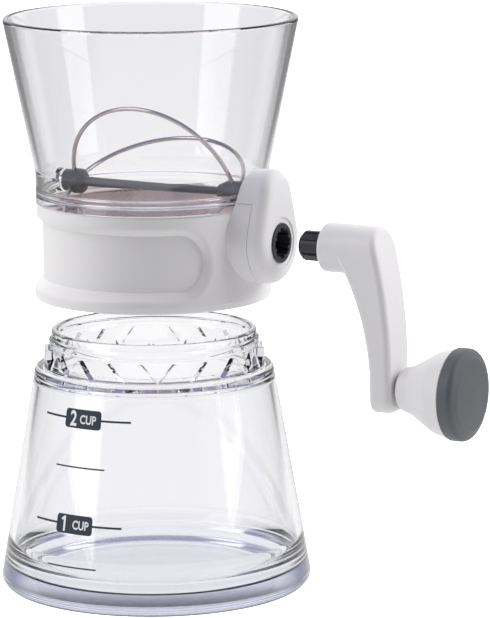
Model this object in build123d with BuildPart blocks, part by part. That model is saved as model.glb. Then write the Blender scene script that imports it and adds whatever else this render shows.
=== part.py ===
"""Hand-crank flour mill on a measuring jar, opened out: head lifted off the jar, crank drawn out.

Millimetres. The origin is the centre of the jar's base, +Z up. The crank, the gears and the
agitator turn about axes that run along X. The head is modelled where it hangs above the jar.
"""
from build123d import *
from math import acos, cos, pi, radians, sin, tan
import os

os.makedirs("parts", exist_ok=True)

# Driving dimensions: jar
JAR_SHOULDER_Z = 83.5
JAR_BASE_R = 57.5
JAR_SHOULDER_R = 44.2
JAR_WALL = 2.5
JAR_FLOOR_Z = 5.6
JAR_FLOOR_ROUNDING = 11.7
NECK_R = 38.5
NECK_BORE_R = 36.0
NECK_TOP_Z = 97.2
BEAD_R = 39.0
BEAD_Z = 92.6
TOOTH_COUNT = 20
TOOTH_WIDTH = 11.6
TOOTH_HEIGHT = 6.5
TOOTH_R = 41.0
TOOTH_TURN = 4.7

# Head: base ring, gear case and hopper
RING_BOTTOM_Z = 109.3
RING_TOP_Z = 144.4
RING_R = 43.9
RING_SOCKET_R = 39.4
RING_BORE_R = 38.3
RING_TOOTH_ROOT_R = 41.4
RING_TOOTH_Z = 110.5
RECESS_R = 40.7
RECESS_MID_Z = 127.3
RECESS_FLOOR_HALF = 10.3
RECESS_WALL_SLOPE = 1.03
RECESS_END_ANGLE = 47.0
RECESS_ROUNDING = 2.6
LEDGE_R = 41.2
LEDGE_Z = 142.6
COLLAR_R = 43.2
COLLAR_BORE_R = 41.0
COLLAR_BOTTOM_Z = 144.8
COLLAR_TOP_Z = 156.3
HOPPER_RIM_R = 54.5
HOPPER_RIM_Z = 212.9
FLANGE_BORE_R = 38.8
FLANGE_TOP_Z = 149.8
FLANGE_UNDER_Z = 147.8
HOPPER_WALL = 2.2

# Axes
AGITATOR_Z = 150.0
DRIVE_Z = 132.5
KNOB_Z = 82.9

# Gears
GEAR_MODULE = 1.0
DRIVE_TEETH = 20
AGITATOR_TEETH = 15
GEAR_ADDENDUM = 0.85
GEAR_DEDENDUM = 1.2
GEAR_BACKLASH = 0.3
PRESSURE_ANGLE = 20
GEAR_BACK_X = 45.3
GEAR_FACE = 4.0

# Gear case
CASE_BACK_X = 36.0
CASE_FLOOR_X = 44.4
CASE_PART_X = 48.0
CASE_PART_Z = 147.8
CASE_FRONT_X = 54.1
CASE_WALL = 2.2
CASE_BACK_LOW_Z = 134.6
CASE_BACK_LOW_R = 17.4
CASE_BACK_HIGH_Z = 146.9
CASE_BACK_HIGH_R = 11.6
CASE_FRONT_ROUNDING = 4.2
CASE_LOW_R = 15.0
CASE_HIGH_R = 10.2
PART_GAP = 0.15

# Cover screws
SCREW_R = 1.0
SCREW_HEAD_R = 1.7
SCREW_HEAD_X = 40.0
SCREW_HEAD_HEIGHT = 1.4
SCREW_LENGTH = 11.0
SCREW_CIRCLE_R = 13.6
SCREW_PLACES = [(SCREW_CIRCLE_R * cos(radians(angle)), DRIVE_Z + SCREW_CIRCLE_R * sin(radians(angle)))
                for angle in (205, 270, 335)]

# Agitator
SPINDLE_R = 2.5
SPINDLE_FLAT = 2.0
RUNNING_FIT = 0.06
BOW_R = 33.7
BOW_CENTRE_X = 0.7
BOW_WIRE_R = 0.8
BOW_ANGLES = (-25, 65, 155, 245)
BOW_HUB_ANGLE = 6.0
SCREEN_R = 35.6
SCREEN_THICKNESS = 0.6

# Drive socket and crank
SOCKET_R = 7.35
SOCKET_FRONT_X = 54.4
SOCKET_FLOOR_X = 45.6
SPLINE_COUNT = 8
SPLINE_CORE_R = 4.65
SPLINE_TIP_R = 5.35
SPLINE_RIB = 2.5
SPLINE_CLEARANCE = 0.2
STUB_TIP_X = 63.0
BOSS_FACE_X = 72.4
BOSS_R = 9.0
ARM_FACE_X = 101.8
ARM_END_Z = 74.1

AGITATOR_AXIS = Axis((0, 0, AGITATOR_Z), (1, 0, 0))
DRIVE_AXIS = Axis((0, 0, DRIVE_Z), (1, 0, 0))
KNOB_AXIS = Axis((0, 0, KNOB_Z), (1, 0, 0))


def side_outline(corners):
    """Closed outline in the XZ plane from (x or radius, z, corner rounding) triples."""
    with BuildSketch(Plane.XZ) as outline:
        with BuildLine():
            FilletPolyline([(x, z) for x, z, _ in corners], radius=[r for _, _, r in corners], close=True)
        make_face()
    return outline.sketch


def shaft_outline(axis_z, corners):
    """Closed outline for a piece turned about an X-parallel axis, from (x, radius, rounding)."""
    return side_outline([(x, axis_z + radius, rounding) for x, radius, rounding in corners])


def crown_tooth(grow):
    """Rounded triangular tooth, pointing up and out along +X; grow widens it for its matching notch."""
    half = TOOTH_WIDTH / 2 + grow
    tip = TOOTH_HEIGHT + grow * 1.4
    with BuildPart() as tooth:
        with BuildSketch(Plane.YZ.offset(NECK_BORE_R + 1.0)):
            with BuildLine():
                FilletPolyline([(-half, -2.0), (-half, 0.0), (0, tip + 0.9), (half, 0.0), (half, -2.0)],
                               radius=[0, 0, 1.6, 0, 0], close=True)
            make_face()
        extrude(amount=TOOTH_R - NECK_BORE_R + 3.0)
    return tooth.part


def gear_face(teeth, bore_r, flat=None):
    """Involute spur gear outline with one tooth pointing up and a round or D-shaped bore."""
    pitch_r = GEAR_MODULE * teeth / 2
    base_r = pitch_r * cos(radians(PRESSURE_ANGLE))
    tip_r = pitch_r + GEAR_ADDENDUM
    root_r = pitch_r - GEAR_DEDENDUM
    pitch_half = (pi * GEAR_MODULE / 2 - GEAR_BACKLASH) / 2 / pitch_r
    flank_steps = 5

    def involute(angle):
        return tan(angle) - angle

    def tooth_half(radius):
        return pitch_half + involute(radians(PRESSURE_ANGLE)) - involute(acos(min(1, base_r / radius)))

    flank_foot_r = max(base_r, root_r)
    flank_radii = [flank_foot_r + (tip_r - flank_foot_r) * i / flank_steps for i in range(flank_steps + 1)]
    flank = [(root_r - 0.3, tooth_half(flank_foot_r))] + [(radius, tooth_half(radius)) for radius in flank_radii]
    side = [(radius * sin(half), radius * cos(half)) for radius, half in flank]
    outline = side + [(-x, y) for x, y in reversed(side)]
    with BuildSketch() as gear:
        Circle(root_r)
        with BuildSketch(mode=Mode.PRIVATE) as tooth:
            with BuildLine():
                Polyline(outline, close=True)
            make_face()
        with PolarLocations(0, teeth):
            add(tooth.sketch)
        Circle(bore_r, mode=Mode.SUBTRACT)
        if flat:
            with Locations((0, flat)):
                Rectangle(2 * bore_r, 2 * (bore_r - flat), align=(Align.CENTER, Align.MIN))
    return gear.sketch


def spline_face(grow):
    """Splined section of the stub; grow opens it into the socket's bore."""
    with BuildSketch() as section:
        Circle(SPLINE_CORE_R + grow)
        with PolarLocations((SPLINE_CORE_R + SPLINE_TIP_R) / 2 - 0.5, SPLINE_COUNT):
            Rectangle(SPLINE_TIP_R - SPLINE_CORE_R + 1.0 + 2 * grow, SPLINE_RIB + 2 * grow)
    return section.sketch


def case_shell():
    """Teardrop body of the gear case, lofted from the ring to the front face."""
    with BuildPart() as shell:
        with BuildSketch(Plane.YZ.offset(CASE_BACK_X)):
            with Locations((0, CASE_BACK_LOW_Z)):
                Circle(CASE_BACK_LOW_R)
            with Locations((0, CASE_BACK_HIGH_Z)):
                Circle(CASE_BACK_HIGH_R)
            make_hull()
        with BuildSketch(Plane.YZ.offset(CASE_FRONT_X)):
            with Locations((0, DRIVE_Z)):
                Circle(CASE_LOW_R)
            with Locations((0, AGITATOR_Z - 0.4)):
                Circle(CASE_HIGH_R)
            make_hull()
        loft(ruled=True)
        fillet(shell.faces().sort_by(Axis.X)[-1].edges(), CASE_FRONT_ROUNDING)
    return shell.part


def rim_edges(faces):
    """Edges that border a run of touching faces, leaving out the ones between two of them."""
    seen = {}
    for face in faces:
        for edge in face.edges():
            seen.setdefault(tuple(round(value, 3) for value in edge.center()), []).append(edge)
    return [found[0] for found in seen.values() if len(found) == 1]


def finish_piece(piece, name):
    """Label a finished piece and write its STEP file."""
    piece.label = name
    export_step(piece, f"parts/{name}.step")


# Clear measuring jar: cone, thick floor, neck with a bead, and a crown of locating teeth
with BuildPart() as jar:
    revolve(side_outline([
        (0, 0.8, 0), (46.0, 0.8, 0), (47.0, 0, 0.4), (JAR_BASE_R, 0, 4.6), (57.9, 4.6, 2.0),
        (JAR_SHOULDER_R, JAR_SHOULDER_Z, 1.8), (NECK_R, JAR_SHOULDER_Z, 0.5),
        (NECK_R, BEAD_Z - 1.6, 0.4), (BEAD_R, BEAD_Z - 0.8, 0.4), (BEAD_R, BEAD_Z + 0.8, 0.4),
        (NECK_R - 0.3, BEAD_Z + 1.8, 0.4), (NECK_R - 0.5, NECK_TOP_Z, 1.0),
        (NECK_BORE_R, NECK_TOP_Z, 0.8), (NECK_BORE_R, JAR_SHOULDER_Z + 0.6, 2.5),
        (JAR_SHOULDER_R - JAR_WALL + 0.6, JAR_SHOULDER_Z - 4.6, 5.0),
        (JAR_BASE_R - JAR_WALL - 0.1, JAR_FLOOR_Z, JAR_FLOOR_ROUNDING), (0, JAR_FLOOR_Z, 0)]), axis=Axis.Z)
    with BuildPart(mode=Mode.PRIVATE) as crown:
        with PolarLocations(0, TOOTH_COUNT, start_angle=TOOTH_TURN):
            add(crown_tooth(0).moved(Location((0, 0, JAR_SHOULDER_Z))))
        with BuildSketch(Plane.XY.offset(JAR_SHOULDER_Z - 0.6)):
            Circle(TOOTH_R)
            Circle(NECK_R - 0.6, mode=Mode.SUBTRACT)
        extrude(amount=TOOTH_HEIGHT + 2.0, mode=Mode.INTERSECT)
    add(crown.part)
finish_piece(jar.part, "jar")

# White base ring: finger recess, socket with notches for the jar's crown, and the case's back half
with BuildPart() as base_ring:
    revolve(side_outline([
        (30.0, RING_BOTTOM_Z, 0), (43.5, RING_BOTTOM_Z, 0.8), (RING_R, RING_BOTTOM_Z + 2.5, 1.0),
        (42.9, RING_TOP_Z, 0.3), (30.0, RING_TOP_Z, 0)]), axis=Axis.Z)
    with BuildPart(mode=Mode.PRIVATE) as recess:
        inner_r = 36.0
        outer_r = 50.0
        inner_half = RECESS_FLOOR_HALF + (inner_r - RECESS_R) * RECESS_WALL_SLOPE
        outer_half = RECESS_FLOOR_HALF + (outer_r - RECESS_R) * RECESS_WALL_SLOPE
        with BuildSketch(Plane.XZ.rotated((0, 0, RECESS_END_ANGLE))):
            with BuildLine():
                Polyline((inner_r, RECESS_MID_Z - inner_half), (outer_r, RECESS_MID_Z - outer_half),
                         (outer_r, RECESS_MID_Z + outer_half), (inner_r, RECESS_MID_Z + inner_half), close=True)
            make_face()
        revolve(axis=Axis.Z, revolution_arc=360 - 2 * RECESS_END_ANGLE)
        for side in (-1, 1):
            angle = radians(RECESS_END_ANGLE) * side
            outward = Vector(cos(angle), sin(angle), 0)
            with Locations(Plane(origin=outward * inner_r + Vector(0, 0, RECESS_MID_Z), z_dir=outward)):
                Cone(inner_half, outer_half, outer_r - inner_r, align=(Align.CENTER, Align.CENTER, Align.MIN))
        with BuildSketch(Plane.XY.offset(RECESS_MID_Z - 30)):
            Circle(RECESS_R)
        extrude(amount=60, mode=Mode.SUBTRACT)
    add(recess.part, mode=Mode.SUBTRACT)
    fillet(base_ring.edges(Select.NEW), RECESS_ROUNDING)
    with BuildPart(mode=Mode.PRIVATE) as case_back:
        add(case_shell())
        with BuildSketch(Plane.YZ.offset(CASE_BACK_X)):
            with Locations((0, CASE_PART_Z)):
                Rectangle(60, 60, align=(Align.CENTER, Align.MAX))
        extrude(amount=CASE_PART_X - CASE_BACK_X, mode=Mode.INTERSECT)
        with BuildSketch(Plane.XY.offset(RING_TOP_Z)):
            Circle(COLLAR_R + 0.05)
        extrude(amount=20, mode=Mode.SUBTRACT)
    add(case_back.part)
    with BuildSketch(Plane.YZ.offset(CASE_FLOOR_X)):
        with Locations((0, DRIVE_Z)):
            Circle(12.8)
        with Locations((0, AGITATOR_Z - 0.4)):
            Circle(8.9)
        make_hull()
    extrude(amount=10, mode=Mode.SUBTRACT)
    revolve(side_outline([
        (0, RING_BOTTOM_Z - 1, 0), (RING_TOOTH_ROOT_R, RING_BOTTOM_Z - 1, 0), (RING_TOOTH_ROOT_R, RING_TOOTH_Z, 0),
        (RING_SOCKET_R, RING_TOOTH_Z, 0), (RING_SOCKET_R, 123.2, 0), (RING_BORE_R, 124.4, 0),
        (RING_BORE_R, LEDGE_Z, 0), (LEDGE_R, LEDGE_Z, 0), (LEDGE_R, RING_TOP_Z + 5, 0),
        (0, RING_TOP_Z + 5, 0)]), axis=Axis.Z, mode=Mode.SUBTRACT)
    with BuildPart(mode=Mode.PRIVATE) as notches:
        with PolarLocations(0, TOOTH_COUNT, start_angle=TOOTH_TURN):
            add(crown_tooth(0.35).moved(Location((0, 0, RING_BOTTOM_Z))))
        with BuildSketch(Plane.XY.offset(RING_BOTTOM_Z - 3)):
            Circle(RING_TOOTH_ROOT_R)
        extrude(amount=20, mode=Mode.INTERSECT)
    add(notches.part, mode=Mode.SUBTRACT)
    with Locations(Plane(origin=(CASE_FLOOR_X, 0, DRIVE_Z), z_dir=(1, 0, 0))):
        Hole(3.0 + RUNNING_FIT, depth=3.4)
    with BuildSketch(Plane.YZ.offset(CASE_FLOOR_X)):
        with Locations((0, AGITATOR_Z)):
            Circle(5.9)
    extrude(amount=-2, mode=Mode.SUBTRACT)
    for y, z in SCREW_PLACES:
        with BuildSketch(Plane.YZ.offset(SCREW_HEAD_X + SCREW_HEAD_HEIGHT)):
            with Locations((y, z)):
                Circle(SCREW_HEAD_R + 0.1)
        extrude(amount=-12, mode=Mode.SUBTRACT)
        with BuildSketch(Plane.YZ.offset(SCREW_HEAD_X)):
            with Locations((y, z)):
                Circle(SCREW_R)
        extrude(amount=12, mode=Mode.SUBTRACT)
finish_piece(base_ring.part, "base_ring")

# Clear hopper: inner flange, collar, cone with a rounded lip, idle-bearing boss and drive-side boss
BEARING_BOSS_X = -38.4
DRIVE_BOSS_X = 39.4
BUSH_R = 3.6
with BuildPart() as hopper:
    revolve(side_outline([
        (COLLAR_BORE_R, COLLAR_BOTTOM_Z, 0.2), (COLLAR_R, COLLAR_BOTTOM_Z, 0.3),
        (COLLAR_R, COLLAR_TOP_Z, 6.0), (HOPPER_RIM_R, HOPPER_RIM_Z, 1.1),
        (HOPPER_RIM_R - HOPPER_WALL, HOPPER_RIM_Z, 1.0), (COLLAR_BORE_R, COLLAR_TOP_Z + 0.4, 5.0),
        (COLLAR_BORE_R, FLANGE_TOP_Z, 1.0), (FLANGE_BORE_R, FLANGE_TOP_Z, 0.6),
        (FLANGE_BORE_R, FLANGE_UNDER_Z, 0.6), (COLLAR_BORE_R, FLANGE_UNDER_Z, 0.8)]), axis=Axis.Z)
    with BuildPart(mode=Mode.PRIVATE) as bosses:
        with BuildSketch(Plane.YZ.offset(BEARING_BOSS_X)):
            with Locations((0, AGITATOR_Z)):
                Circle(4.4)
        extrude(amount=-3.6)
        with BuildSketch(Plane.YZ.offset(DRIVE_BOSS_X)):
            with Locations((0, AGITATOR_Z)):
                Circle(4.7)
        extrude(amount=3.0)
    add(bosses.part)
    with Locations(Plane(origin=(BEARING_BOSS_X, 0, AGITATOR_Z), z_dir=(1, 0, 0))):
        Hole(2.0 + RUNNING_FIT, depth=3.4)
    with Locations(Plane(origin=(COLLAR_R + 1, 0, AGITATOR_Z), z_dir=(1, 0, 0))):
        Hole(BUSH_R, depth=8)
    with BuildSketch(Plane.YZ.offset(DRIVE_BOSS_X)):
        with Locations((0, AGITATOR_Z)):
            Circle(4.5)
    extrude(amount=-2, mode=Mode.SUBTRACT)
finish_piece(hopper.part, "hopper")

# Woven bowl that the bows sweep, as a thin shell with a flat lip
SCREEN_LIP_Z = 143.8
with BuildPart() as screen_mesh:
    with BuildSketch(Plane.XZ):
        with BuildLine():
            inner_lip_r = (SCREEN_R ** 2 - (AGITATOR_Z - SCREEN_LIP_Z) ** 2) ** 0.5
            bowl_inside = RadiusArc((0, AGITATOR_Z - SCREEN_R), (inner_lip_r, SCREEN_LIP_Z), -SCREEN_R)
            outer_r = SCREEN_R + SCREEN_THICKNESS
            lip_under_z = SCREEN_LIP_Z - 0.2
            outer_lip_r = (outer_r ** 2 - (AGITATOR_Z - lip_under_z) ** 2) ** 0.5
            Polyline((inner_lip_r, SCREEN_LIP_Z), (inner_lip_r + 0.4, SCREEN_LIP_Z + 0.4),
                     (LEDGE_R - 0.1, SCREEN_LIP_Z + 0.4), (LEDGE_R - 0.1, lip_under_z), (outer_lip_r, lip_under_z))
            RadiusArc((outer_lip_r, lip_under_z), (0, AGITATOR_Z - outer_r), outer_r)
            Line((0, AGITATOR_Z - outer_r), (0, AGITATOR_Z - SCREEN_R))
        make_face()
    revolve(axis=Axis.Z)
finish_piece(screen_mesh.part, "screen_mesh")

# Ring that carries the mesh's lip on the base ring's ledge
with BuildPart() as screen_rim:
    revolve(side_outline([
        (RING_BORE_R + 0.3, LEDGE_Z, 0.2), (LEDGE_R - 0.1, LEDGE_Z, 0.2), (LEDGE_R - 0.1, lip_under_z, 0),
        (RING_BORE_R + 0.3, lip_under_z, 0.2)]), axis=Axis.Z)
finish_piece(screen_rim.part, "screen_rim")

# Flat gasket between hopper and base ring
with BuildPart() as hopper_gasket:
    revolve(side_outline([
        (LEDGE_R + 0.1, RING_TOP_Z, 0), (42.8, RING_TOP_Z, 0), (42.8, COLLAR_BOTTOM_Z, 0),
        (LEDGE_R + 0.1, COLLAR_BOTTOM_Z, 0)]), axis=Axis.Z)
finish_piece(hopper_gasket.part, "hopper_gasket")

# Gear cover: front shell with a hood that reaches back over the ring to the hopper
with BuildPart() as gear_cover:
    add(case_shell())
    with BuildSketch(Plane.YZ.offset(CASE_BACK_X - 1)):
        with Locations((0, CASE_PART_Z + PART_GAP)):
            Rectangle(60, 60, align=(Align.CENTER, Align.MAX))
    extrude(amount=CASE_PART_X + PART_GAP - CASE_BACK_X + 1, mode=Mode.SUBTRACT)
    revolve(side_outline([
        (0, RING_TOP_Z - 5, 0), (COLLAR_R + 0.1, RING_TOP_Z - 5, 0), (COLLAR_R + 0.1, COLLAR_TOP_Z, 6.0),
        (HOPPER_RIM_R + 0.1, HOPPER_RIM_Z, 0), (0, HOPPER_RIM_Z, 0)]), axis=Axis.Z, mode=Mode.SUBTRACT)
    with BuildSketch(Plane.YZ.offset(CASE_BACK_X)):
        with Locations((0, DRIVE_Z)):
            Circle(12.8)
        with Locations((0, AGITATOR_Z - 0.4)):
            Circle(8.9)
        make_hull()
    extrude(amount=CASE_FRONT_X - CASE_WALL - CASE_BACK_X, mode=Mode.SUBTRACT)
    with Locations(Plane(origin=(CASE_FRONT_X, 0, DRIVE_Z), z_dir=(1, 0, 0))):
        CounterBoreHole(SOCKET_R + RUNNING_FIT, 9.4, 0.35)
    with BuildSketch(Plane.YZ.offset(CASE_FRONT_X - CASE_WALL)):
        with Locations((0, AGITATOR_Z)):
            Circle(3.6)
    extrude(amount=-1.6)
    with Locations(Plane(origin=(CASE_FRONT_X - CASE_WALL - 1.6, 0, AGITATOR_Z), z_dir=(-1, 0, 0))):
        Hole(1.5 + RUNNING_FIT, depth=2.6)
    for y, z in SCREW_PLACES:
        with Locations(Plane(origin=(CASE_PART_X, y, z), z_dir=(-1, 0, 0))):
            Hole(SCREW_R, depth=SCREW_HEAD_X + SCREW_LENGTH - CASE_PART_X)
finish_piece(gear_cover.part, "gear_cover")

# Three screws from inside the ring into the cover's rim
with BuildPart() as gear_case_screws:
    for y, z in SCREW_PLACES:
        with Locations(Plane(origin=(SCREW_HEAD_X, y, z), z_dir=(1, 0, 0))):
            Cylinder(SCREW_HEAD_R, SCREW_HEAD_HEIGHT, align=(Align.CENTER, Align.CENTER, Align.MIN))
            Cylinder(SCREW_R, SCREW_LENGTH, align=(Align.CENTER, Align.CENTER, Align.MIN))
finish_piece(gear_case_screws.part, "gear_case_screws")

# Bush in the hopper wall for the agitator's spindle
with BuildPart() as shaft_bush:
    revolve(shaft_outline(AGITATOR_Z, [
        (DRIVE_BOSS_X, SPINDLE_R + RUNNING_FIT, 0), (DRIVE_BOSS_X, BUSH_R, 0), (43.6, BUSH_R, 0),
        (43.6, 5.6, 0.2), (44.6, 5.6, 0.2), (44.6, SPINDLE_R + RUNNING_FIT, 0)]), axis=AGITATOR_AXIS)
finish_piece(shaft_bush.part, "shaft_bush")

# Seal ring in front of the bush, keeps flour out of the gear case
with BuildPart() as shaft_seal:
    revolve(shaft_outline(AGITATOR_Z, [
        (DRIVE_BOSS_X - 0.9, SPINDLE_R + RUNNING_FIT, 0.3), (DRIVE_BOSS_X, SPINDLE_R + RUNNING_FIT, 0),
        (DRIVE_BOSS_X, 4.2, 0.2), (DRIVE_BOSS_X - 0.9, 3.8, 0.3)]), axis=AGITATOR_AXIS)
finish_piece(shaft_seal.part, "shaft_seal")

# Agitator: tapered rod between two hubs
IDLE_HUB_X = -37.9
IDLE_NOSE_X = -29.6
DRIVE_HUB_X = 28.2
DRIVE_HUB_END_X = 38.1
ROD_END_R = 1.9
ROD_SLIM_R = 1.35
with BuildPart() as agitator_shaft:
    revolve(shaft_outline(AGITATOR_Z, [
        (IDLE_NOSE_X, 0, 0), (IDLE_NOSE_X, 2.3, 0), (IDLE_NOSE_X + 1.6, ROD_END_R, 0.8),
        (DRIVE_HUB_X, ROD_SLIM_R, 0), (DRIVE_HUB_X, 0, 0)]), axis=AGITATOR_AXIS)
finish_piece(agitator_shaft.part, "agitator_shaft")

# Grey hub at the far end, with the journal that turns in the hopper's boss
with BuildPart() as idle_hub:
    revolve(shaft_outline(AGITATOR_Z, [
        (-41.4, 0, 0), (-41.4, 2.0, 0.4), (IDLE_HUB_X, 2.0, 0), (IDLE_HUB_X, 4.1, 0.5), (-33.6, 4.3, 0),
        (-33.6, 4.8, 0.3), (IDLE_NOSE_X, 4.6, 1.2), (IDLE_NOSE_X, 0, 0)]), axis=AGITATOR_AXIS)
finish_piece(idle_hub.part, "idle_hub")

# Grey hub at the gear end, with the spindle that passes through the bush and carries the gear
CLIP_X = GEAR_BACK_X + GEAR_FACE
with BuildPart() as drive_hub:
    revolve(shaft_outline(AGITATOR_Z, [
        (DRIVE_HUB_X, 0, 0), (DRIVE_HUB_X, 2.6, 0.4), (31.4, 4.0, 0.8), (36.0, 4.2, 0.4), (DRIVE_HUB_END_X, 4.2, 0.5),
        (DRIVE_HUB_END_X, SPINDLE_R, 0), (CLIP_X, SPINDLE_R, 0), (CLIP_X, 1.5, 0), (52.6, 1.5, 0.3),
        (52.6, 0, 0)]), axis=AGITATOR_AXIS)
    with BuildSketch(Plane.YZ.offset(GEAR_BACK_X)):
        with Locations((0, AGITATOR_Z + SPINDLE_FLAT)):
            Rectangle(6, 2, align=(Align.CENTER, Align.MIN))
    extrude(amount=GEAR_FACE, mode=Mode.SUBTRACT)
finish_piece(drive_hub.part, "drive_hub")

# Four half-round wire bows, a quarter turn apart, from hub to hub
for number, bow_angle in enumerate(BOW_ANGLES, start=1):
    tilt = radians(bow_angle)
    bow_plane = Plane(origin=(BOW_CENTRE_X, 0, AGITATOR_Z), x_dir=(1, 0, 0), z_dir=(0, -cos(tilt), sin(tilt)))
    with BuildPart() as bow:
        with BuildLine(bow_plane) as bow_path:
            CenterArc((0, 0), BOW_R, BOW_HUB_ANGLE, 180 - 2 * BOW_HUB_ANGLE)
        with BuildSketch(Plane(origin=bow_path.line @ 0, z_dir=bow_path.line % 0)):
            Circle(BOW_WIRE_R)
        sweep()
    finish_piece(bow.part, f"bow_{number}")

# Gears: the agitator's on the D-shaped spindle, the driver on the socket's body
with BuildPart() as agitator_gear:
    with BuildSketch(Plane(origin=(GEAR_BACK_X, 0, AGITATOR_Z), x_dir=(0, 1, 0), z_dir=(1, 0, 0))):
        add(gear_face(AGITATOR_TEETH, SPINDLE_R, SPINDLE_FLAT))
    extrude(amount=GEAR_FACE)
finish_piece(agitator_gear.part, "agitator_gear")

with BuildPart() as agitator_clip:
    with BuildSketch(Plane(origin=(CLIP_X, 0, AGITATOR_Z), x_dir=(0, 1, 0), z_dir=(1, 0, 0))):
        Circle(3.4)
        Circle(1.5, mode=Mode.SUBTRACT)
    extrude(amount=0.7)
finish_piece(agitator_clip.part, "agitator_clip")

with BuildPart() as drive_gear:
    with BuildSketch(Plane(origin=(GEAR_BACK_X, 0, DRIVE_Z), x_dir=(0, 1, 0), z_dir=(1, 0, 0))):
        add(gear_face(DRIVE_TEETH, SOCKET_R))
    extrude(amount=GEAR_FACE)
finish_piece(drive_gear.part, "drive_gear")

with BuildPart() as drive_washer:
    with BuildSketch(Plane(origin=(CLIP_X, 0, DRIVE_Z), x_dir=(0, 1, 0), z_dir=(1, 0, 0))):
        Circle(9.4)
        Circle(SOCKET_R, mode=Mode.SUBTRACT)
    extrude(amount=1.4)
finish_piece(drive_washer.part, "drive_washer")

# Splined socket: turns in the cover, with a pin that turns in the ring behind it
with BuildPart() as drive_socket:
    revolve(shaft_outline(DRIVE_Z, [
        (41.3, 0, 0), (41.3, 3.0, 0.4), (44.7, 3.0, 0), (44.7, SOCKET_R, 0.3), (SOCKET_FRONT_X, SOCKET_R, 0.4),
        (SOCKET_FRONT_X, 0, 0)]), axis=DRIVE_AXIS)
    with BuildSketch(Plane(origin=(SOCKET_FLOOR_X, 0, DRIVE_Z), x_dir=(0, 1, 0), z_dir=(1, 0, 0))):
        add(spline_face(SPLINE_CLEARANCE))
    extrude(amount=20, mode=Mode.SUBTRACT)
finish_piece(drive_socket.part, "drive_socket")

# Splined stub with a chamfered tip and a plain root held in the arm
STUB_ROOT_X = 80.0
with BuildPart() as crank_spline:
    with BuildSketch(Plane(origin=(STUB_TIP_X, 0, DRIVE_Z), x_dir=(0, 1, 0), z_dir=(1, 0, 0))):
        add(spline_face(0))
    extrude(amount=BOSS_FACE_X - STUB_TIP_X)
    revolve(shaft_outline(DRIVE_Z, [
        (STUB_TIP_X - 1, 0, 0), (STUB_TIP_X - 1, 3.4, 0), (STUB_TIP_X, 4.1, 0), (STUB_TIP_X + 1.4, 5.5, 0),
        (BOSS_FACE_X, 5.5, 0), (BOSS_FACE_X, 0, 0)]), axis=DRIVE_AXIS, mode=Mode.INTERSECT)
    with Locations(Plane(origin=(BOSS_FACE_X, 0, DRIVE_Z), z_dir=(1, 0, 0))):
        Cylinder(4.2, STUB_ROOT_X - BOSS_FACE_X, align=(Align.CENTER, Align.CENTER, Align.MIN))
finish_piece(crank_spline.part, "crank_spline")

# Crank arm: round boss, then a flat-sided arm that sweeps out and down to the knob
ARM_INNER_X = 93.3
ARM_TOP_Z = DRIVE_Z + BOSS_R
ARM_FOOT_R = 5.4
ARM_OUTER_ROUNDING = 2.4
ARM_INNER_ROUNDING = 1.8
with BuildPart() as crank_arm:
    with BuildSketch(Plane.XZ):
        with BuildLine():
            outer_face = TangentArc((ARM_FACE_X, 90.0), (94.4, ARM_TOP_Z), tangent=(0, 1))
            inner_face = TangentArc((ARM_INNER_X, 84.0), (72.3, ARM_TOP_Z), tangent=(0, 1))
            Line(inner_face @ 1, outer_face @ 1)
            Polyline(outer_face @ 0, (ARM_FACE_X, ARM_END_Z), (ARM_INNER_X, ARM_END_Z), inner_face @ 0)
        make_face()
    extrude(amount=BOSS_R + 1, both=True)
    with BuildSketch(Plane.YZ.offset(60)):
        with Locations((0, DRIVE_Z)):
            Circle(BOSS_R)
        with Locations((-2.9, ARM_END_Z + ARM_FOOT_R), (2.9, ARM_END_Z + ARM_FOOT_R)):
            Circle(ARM_FOOT_R)
        make_hull()
    extrude(amount=50, mode=Mode.INTERSECT)
    fillet(rim_edges([face for face in crank_arm.faces() if face.normal_at().X > 0.5]), ARM_OUTER_ROUNDING)
    fillet(rim_edges([face for face in crank_arm.faces() if face.normal_at().X < -0.3 and face.area > 60]),
           ARM_INNER_ROUNDING)
    with Locations(Plane(origin=(BOSS_FACE_X + 0.6, 0, DRIVE_Z), z_dir=(-1, 0, 0))):
        Cylinder(2 * BOSS_R, 10, align=(Align.CENTER, Align.CENTER, Align.MIN), mode=Mode.SUBTRACT)
    with Locations(Plane(origin=(BOSS_FACE_X, 0, DRIVE_Z), z_dir=(1, 0, 0))):
        Cylinder(BOSS_R, 20, align=(Align.CENTER, Align.CENTER, Align.MIN))
    fillet(crank_arm.edges().filter_by(GeomType.CIRCLE).group_by(Axis.X)[0], 1.4)
    with Locations(Plane(origin=(BOSS_FACE_X, 0, DRIVE_Z), z_dir=(-1, 0, 0))):
        Hole(4.2, depth=STUB_ROOT_X - BOSS_FACE_X)
    with Locations(Plane(origin=(ARM_FACE_X, 0, KNOB_Z), z_dir=(1, 0, 0))):
        Hole(2.2, depth=6.4)
finish_piece(crank_arm.part, "crank_arm")

# Shoulder screw that the knob spins on, and the washer between arm and knob
POST_HEAD_X = 113.6
with BuildPart() as knob_post:
    revolve(shaft_outline(KNOB_Z, [
        (ARM_FACE_X - 6.2, 0, 0), (ARM_FACE_X - 6.2, 2.2, 0.5), (ARM_FACE_X, 2.2, 0), (ARM_FACE_X, 2.5, 0),
        (POST_HEAD_X, 2.5, 0), (POST_HEAD_X, 4.6, 0.2), (POST_HEAD_X + 2.2, 4.6, 0.8), (POST_HEAD_X + 2.2, 0, 0)]),
        axis=KNOB_AXIS)
finish_piece(knob_post.part, "knob_post")

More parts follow.
